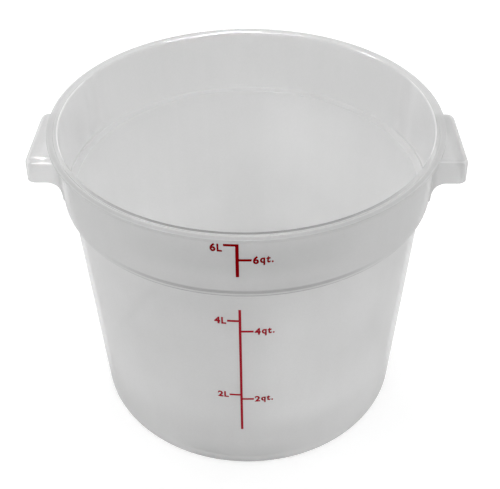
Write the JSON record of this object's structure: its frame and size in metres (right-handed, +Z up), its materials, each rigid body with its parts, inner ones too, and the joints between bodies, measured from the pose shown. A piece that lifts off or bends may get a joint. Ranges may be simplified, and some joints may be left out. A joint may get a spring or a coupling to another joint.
{
  "type": "food storage container",
  "caption": "Round tapered food storage tub of frosted plastic, open on top, with a lid rim, a stacking shoulder, two hollow ear handles and a printed red volume scale.",
  "frame": {"origin": "centre of the base at table level, on the tub's axis", "axes": "+Z up along the tub's axis, +X through the right-hand handle, -Y through the printed scale"},
  "size_m": [0.254, 0.2286, 0.1958],
  "materials": {
    "tub_plastic": "natural, milky and translucent, with a fine satin surface",
    "scale_ink": "screen-printed dark red ink, satin"
  },
  "bodies": {
    "root": {"tub": "tub_plastic", "scale_bar_upper": "scale_ink", "scale_bar_lower": "scale_ink", "litre_6_digit": "scale_ink", "litre_6_letter_l": "scale_ink", "litre_4_digit": "scale_ink", "litre_4_letter_l": "scale_ink", "litre_2_digit": "scale_ink", "litre_2_letter_l": "scale_ink", "quart_6_digit": "scale_ink", "quart_6_letter_q": "scale_ink", "quart_6_letter_t": "scale_ink", "quart_6_point": "scale_ink", "quart_4_digit": "scale_ink", "quart_4_letter_q": "scale_ink", "quart_4_letter_t": "scale_ink", "quart_4_point": "scale_ink", "quart_2_digit": "scale_ink", "quart_2_letter_q": "scale_ink", "quart_2_letter_t": "scale_ink", "quart_2_point": "scale_ink"}
  },
  "joints": []
}
